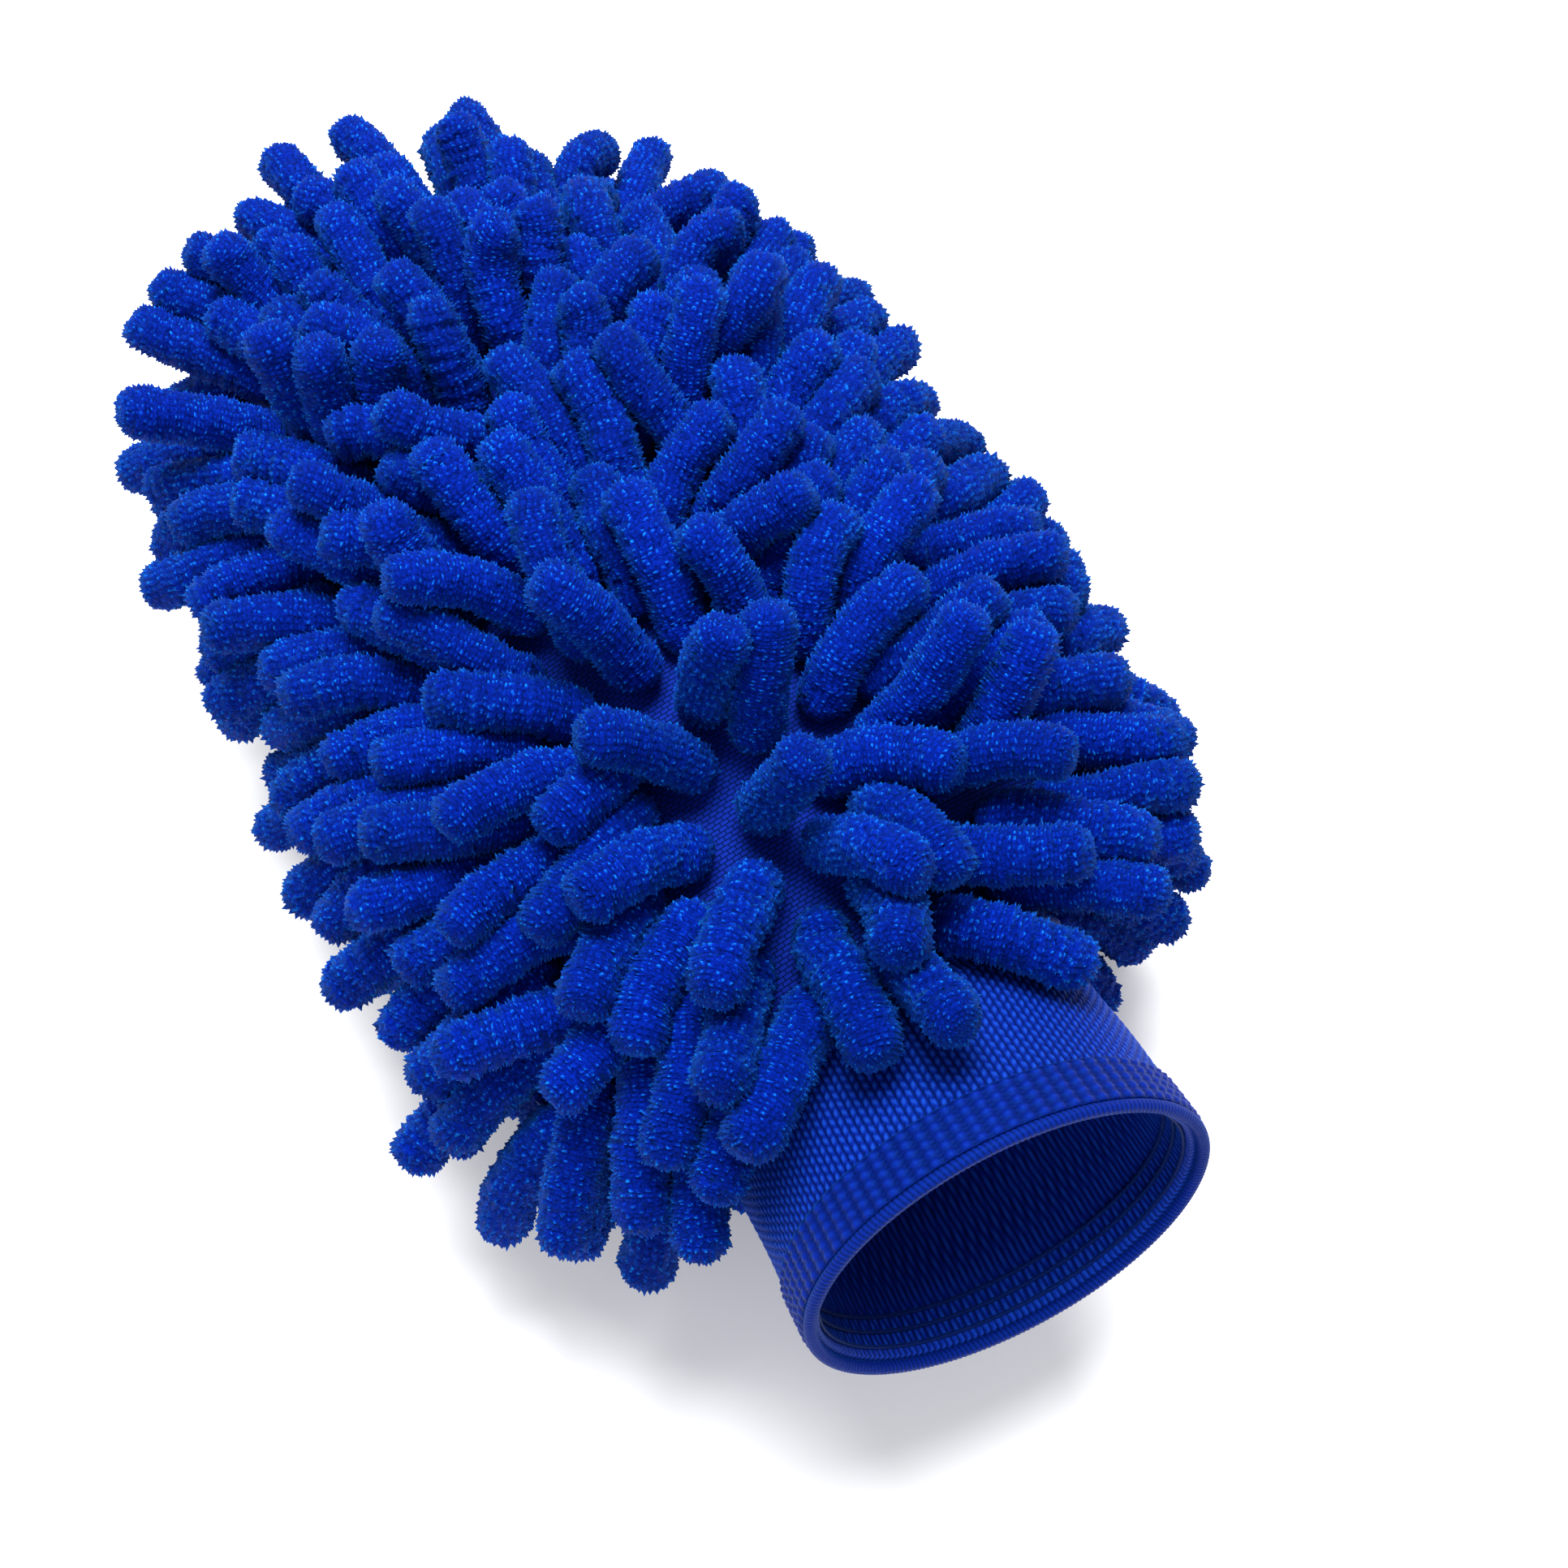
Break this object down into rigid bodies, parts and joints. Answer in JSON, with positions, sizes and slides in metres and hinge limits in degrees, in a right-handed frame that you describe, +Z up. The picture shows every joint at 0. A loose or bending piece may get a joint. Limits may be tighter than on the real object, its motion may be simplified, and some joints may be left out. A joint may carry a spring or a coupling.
{
  "type": "wash mitt",
  "caption": "Worn-shape car wash mitt: two knitted panels covered in plump chenille noodles, closed by a side seam, with a stretch knit cuff.",
  "frame": {"origin": "under the middle of the mitt's overall box, on the surface that the palm's noodles rest on", "axes": "+Y towards the fingertips along the mitt, open cuff at -Y; +Z up out of the back of the hand; +X across"},
  "size_m": [0.1746, 0.2733, 0.1089],
  "materials": {
    "noodle_pile": "dense chenille microfibre pile, royal blue",
    "base_cloth": "fine polyester knit, royal blue",
    "cuff_knit": "ribbed elastic knit, deep blue",
    "thread": "twisted polyester thread, deep blue",
    "elastic": "thin rubber core thread, matt"
  },
  "bodies": {
    "root": {"back_panel": "base_cloth", "palm_panel": "base_cloth", "side_seam_allowance": "base_cloth", "side_seam_stitches": "thread", "cuff_rib": "cuff_knit", "cuff_hem": "cuff_knit", "cuff_rolled_edge": "thread", "cuff_elastic_threads": "elastic", "cuff_join_seam": "thread", "cuff_join_stitches": "thread", "back_noodles_01": "noodle_pile", "back_noodles_02": "noodle_pile", "back_noodles_03": "noodle_pile", "back_noodles_04": "noodle_pile", "back_noodles_05": "noodle_pile", "back_noodles_06": "noodle_pile", "back_noodles_07": "noodle_pile", "back_noodles_08": "noodle_pile", "back_noodles_09": "noodle_pile", "back_noodles_10": "noodle_pile", "back_noodles_11": "noodle_pile", "back_noodles_12": "noodle_pile", "back_noodles_13": "noodle_pile", "back_noodles_14": "noodle_pile", "back_noodles_15": "noodle_pile", "back_noodles_16": "noodle_pile", "back_noodles_17": "noodle_pile", "back_noodles_18": "noodle_pile", "back_noodles_19": "noodle_pile", "palm_noodles_01": "noodle_pile", "palm_noodles_02": "noodle_pile", "palm_noodles_03": "noodle_pile", "palm_noodles_04": "noodle_pile", "palm_noodles_05": "noodle_pile", "palm_noodles_06": "noodle_pile", "palm_noodles_07": "noodle_pile", "palm_noodles_08": "noodle_pile", "palm_noodles_09": "noodle_pile", "palm_noodles_10": "noodle_pile", "palm_noodles_11": "noodle_pile", "palm_noodles_12": "noodle_pile", "palm_noodles_13": "noodle_pile", "palm_noodles_14": "noodle_pile", "palm_noodles_15": "noodle_pile", "palm_noodles_16": "noodle_pile", "palm_noodles_17": "noodle_pile", "palm_noodles_18": "noodle_pile", "palm_noodles_19": "noodle_pile"}
  },
  "joints": []
}
